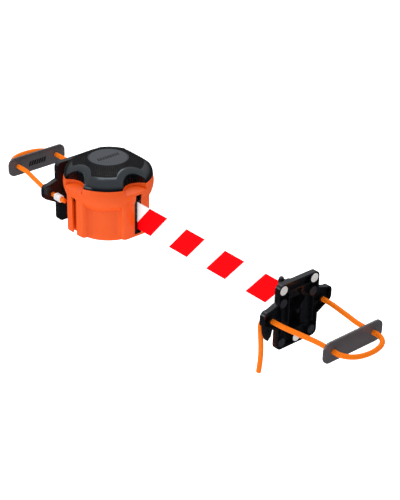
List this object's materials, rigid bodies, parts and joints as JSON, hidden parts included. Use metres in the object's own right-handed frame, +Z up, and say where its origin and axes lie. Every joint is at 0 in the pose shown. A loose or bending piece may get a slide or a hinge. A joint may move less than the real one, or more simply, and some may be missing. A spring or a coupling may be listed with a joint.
{
  "type": "retractable tape barrier",
  "caption": "Round tape casing hooked on a cord-strap plate, with its striped tape clipped to a second strap plate.",
  "frame": {"origin": "centre of the holder plate's post face, where the plate rests on the post it is strapped to", "axes": "+X along the tape, away from that post; +Z up, along the posts"},
  "size_m": [0.8572, 0.152, 0.1855],
  "materials": {
    "orange_shell": "satin moulded plastic",
    "cap_black": "satin moulded plastic",
    "pad_stipple": "fine stipple",
    "badge_grey": "satin",
    "steel": "turned",
    "liner_black": "polished guide",
    "bronze": "sintered",
    "spring_steel": "blued",
    "reel_black": "moulded",
    "tape": "woven, red and white",
    "plate_black": "glossy moulded plastic",
    "latch_black": "glossy acetal",
    "magnet": "nickel plated",
    "pad_rubber": "matt",
    "cord_orange": "braided elastic",
    "crimp_steel": "pressed",
    "strip_rubber": "matt"
  },
  "bodies": {
    "holder": {"holder_plate": "plate_black", "holder_latch": "latch_black", "holder_magnets": "magnet", "holder_pads": "pad_rubber", "holder_cord": "cord_orange", "holder_crimp": "crimp_steel"},
    "holder_strip": {"holder_strip": "strip_rubber"},
    "casing": {"casing_shell": "orange_shell", "top_cap": "cap_black", "grip_pad": "pad_stipple", "cap_badge": "badge_grey", "cap_screw": "steel", "slot_liner": "liner_black", "spindle": "steel", "thrust_washer": "bronze", "reel_clip_ring": "spring_steel", "mainspring": "spring_steel", "tape_run": "tape"},
    "reel": {"reel_drum": "reel_black", "reel_flange": "reel_black", "spring_cover": "reel_black", "reel_bush_lower": "bronze", "reel_bush_upper": "bronze", "wound_tape": "tape"},
    "tape_end": {"clip_pin": "steel"},
    "clip": {"tape_clip": "plate_black"},
    "receiver": {"receiver_plate": "plate_black", "receiver_latch": "latch_black", "receiver_magnets": "magnet", "receiver_pads": "pad_rubber", "receiver_cord": "cord_orange", "receiver_crimp": "crimp_steel"},
    "receiver_strip": {"receiver_strip": "strip_rubber"}
  },
  "joints": [
    {"name": "casing_lift", "type": "slide", "parent": "holder", "child": "casing", "axis": [0, 0, 1], "range_m": [0, 0.07]},
    {"name": "tape_pull", "type": "slide", "parent": "casing", "child": "tape_end", "axis": [1, 0, 0], "range_m": [-0.335, 8.56], "deforming": ["tape_run"]},
    {"name": "reel_turn", "type": "hinge", "parent": "casing", "child": "reel", "pos_m": [0.0976, 0, 0], "axis": [0, 0, 1], "continuous": true, "deforming": ["mainspring"]},
    {"name": "clip_swivel", "type": "hinge", "parent": "tape_end", "child": "clip", "pos_m": [0.5126, 0.004, 0], "axis": [0, 0, 1], "range_deg": [-30, 30]},
    {"name": "receiver_release", "type": "slide", "parent": "clip", "child": "receiver", "axis": [0, 0, -1], "range_m": [0, 0.07]},
    {"name": "holder_strip_slide", "type": "slide", "parent": "holder", "child": "holder_strip", "axis": [-1, 0, 0], "range_m": [-0.02, 0.008]},
    {"name": "receiver_strip_slide", "type": "slide", "parent": "receiver", "child": "receiver_strip", "axis": [1, 0, 0], "range_m": [-0.02, 0.008]}
  ],
  "couplings": [
    {"joint": "reel_turn", "follows": "tape_pull", "rad_per_m": -24}
  ]
}
